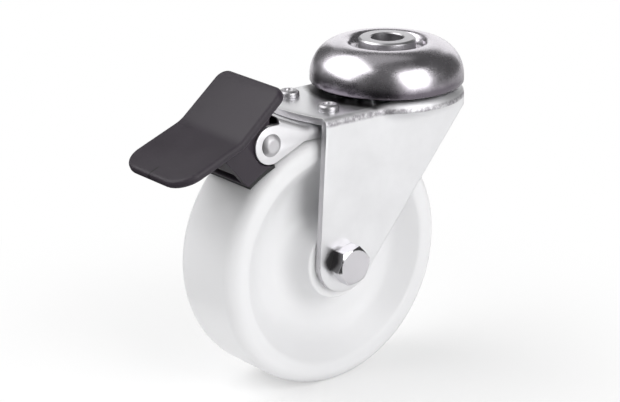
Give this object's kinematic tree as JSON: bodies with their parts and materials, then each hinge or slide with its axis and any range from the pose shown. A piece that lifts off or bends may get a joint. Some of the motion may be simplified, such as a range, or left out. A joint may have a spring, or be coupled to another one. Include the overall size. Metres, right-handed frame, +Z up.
{
  "type": "braked swivel castor",
  "caption": "Bolt-hole swivel castor: domed ball head, pressed fork, white wheel with dished sides, and a black foot pedal that presses a brake shoe on the tread.",
  "frame": {"origin": "centre of the hub bush's top face, where the bolt hole opens and the castor meets the furniture", "axes": "+Z up along the swivel axis and out of the bolt hole; the wheel trails towards -X and its axle runs along Y, with the bolt head on the -Y side"},
  "size_m": [0.1407, 0.0608, 0.1265],
  "materials": {
    "hub_steel": "turned steel, bright zinc plating",
    "cap_plate": "pressed steel, mirror-bright zinc plating",
    "race_steel": "hardened pressed steel",
    "ball_steel": "polished ball steel",
    "fork_plate": "pressed steel, satin bright zinc plating",
    "bracket_plate": "folded steel, satin bright zinc plating",
    "rivet_steel": "cold-headed steel, bright zinc plating",
    "spring_steel": "blued spring steel",
    "pin_steel": "headed steel pin, bright zinc plating",
    "bolt_steel": "forged hexagon bolt, bright zinc plating",
    "insert_plastic": "coloured nylon ring",
    "tube_steel": "drawn steel tube",
    "cage_plastic": "moulded cage, dark",
    "roller_steel": "ground steel rollers",
    "wheel_plastic": "white moulded polyamide, satin",
    "pedal_plastic": "black moulded plastic, fine texture",
    "shoe_plastic": "black hard rubber sole"
  },
  "bodies": {
    "swivel_head": {"hub_bush": "hub_steel", "swivel_cap": "cap_plate", "upper_race": "race_steel", "lower_race": "race_steel", "lower_balls": "ball_steel"},
    "fork": {"fork": "fork_plate", "upper_balls": "ball_steel", "brake_bracket": "bracket_plate", "bracket_rivets": "rivet_steel", "detent_spring": "spring_steel", "pivot_pin": "pin_steel", "axle_bolt": "bolt_steel", "axle_nut": "bolt_steel", "nut_insert": "insert_plastic", "axle_tube": "tube_steel"},
    "wheel": {"wheel": "wheel_plastic", "bearing_cage": "cage_plastic", "bearing_rollers": "roller_steel"},
    "pedal": {"pedal": "pedal_plastic", "brake_shoe": "shoe_plastic"}
  },
  "joints": [
    {"name": "swivel", "type": "hinge", "parent": "swivel_head", "child": "fork", "pos_m": [0, 0, 0], "axis": [0, 0, 1], "continuous": true},
    {"name": "wheel_spin", "type": "hinge", "parent": "fork", "child": "wheel", "pos_m": [-0.0375, 0, -0.0765], "axis": [0, 1, 0], "continuous": true},
    {"name": "brake_pedal", "type": "hinge", "parent": "fork", "child": "pedal", "pos_m": [-0.0685, 0, -0.0259], "axis": [0, 1, 0], "range_deg": [-12, 0]}
  ]
}
